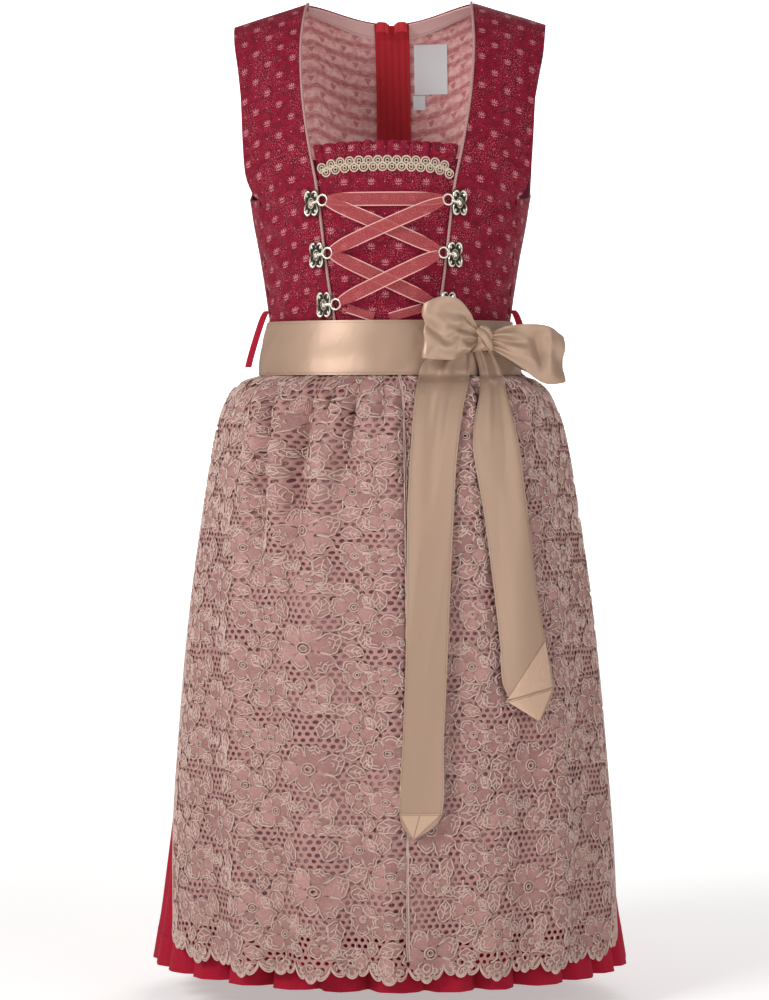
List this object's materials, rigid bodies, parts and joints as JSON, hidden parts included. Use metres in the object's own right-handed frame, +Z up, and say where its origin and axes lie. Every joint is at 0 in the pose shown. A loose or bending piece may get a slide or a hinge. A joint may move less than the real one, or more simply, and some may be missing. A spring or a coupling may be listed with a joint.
{
  "type": "dirndl",
  "caption": "Sleeveless dirndl: laced square-neck bodice, pleated knee-length skirt, lace apron tied with a satin sash and side bow.",
  "frame": {"origin": "midway between the two shoulder seams, on the line that joins them, where the dress rests on its wearer", "axes": "+Z up from hem to shoulders, -Y towards the front, +X towards the wearer's left"},
  "size_m": [0.4716, 0.3976, 0.9533],
  "materials": {
    "jacquard": "matte",
    "facing": "matte",
    "braid": "matte",
    "zip_tape": "matte",
    "metal": "satin",
    "zip_metal": "satin",
    "organza": "satin",
    "cotton": "matte",
    "lining": "satin",
    "lace": "matte",
    "satin": "gloss",
    "label": "matte"
  },
  "bodies": {
    "dress": {"bodice_front_r": "jacquard", "bodice_front_l": "jacquard", "bodice_back_r": "jacquard", "bodice_back_l": "jacquard", "stomacher": "jacquard", "stomacher_ruffle": "jacquard", "neck_facing_r": "facing", "neck_facing_l": "facing", "piping_front_r": "facing", "piping_front_l": "facing", "braid": "braid", "zip_tape": "zip_tape", "hook_r1": "metal", "hook_r2": "metal", "hook_r3": "metal", "hook_l1": "metal", "hook_l2": "metal", "hook_l3": "metal", "zip_slider": "zip_metal", "lacing_top": "organza", "lacing_down_1": "organza", "lacing_up_1": "organza", "lacing_down_2": "organza", "lacing_up_2": "organza", "lacing_end_r": "organza", "lacing_end_l": "organza", "skirt_front": "cotton", "skirt_back_l": "cotton", "skirt_back_r": "cotton", "hanger_loop_r": "cotton", "hanger_loop_l": "cotton", "apron_lining": "lining", "apron_lace_r": "lace", "apron_lace_l": "lace", "sash_front": "satin", "sash_back": "satin", "bow_loop_r": "satin", "bow_loop_l": "satin", "bow_knot": "satin", "bow_tail_r": "satin", "bow_tail_l": "satin", "label_main": "label", "label_size": "label"},
    "pull": {"zip_pull": "zip_metal"}
  },
  "joints": [
    {"name": "zip_pull_swing", "type": "hinge", "parent": "dress", "child": "pull", "pos_m": [0, 0.05226, -0.00845], "axis": [1, 0, 0], "range_deg": [0, 150]}
  ]
}
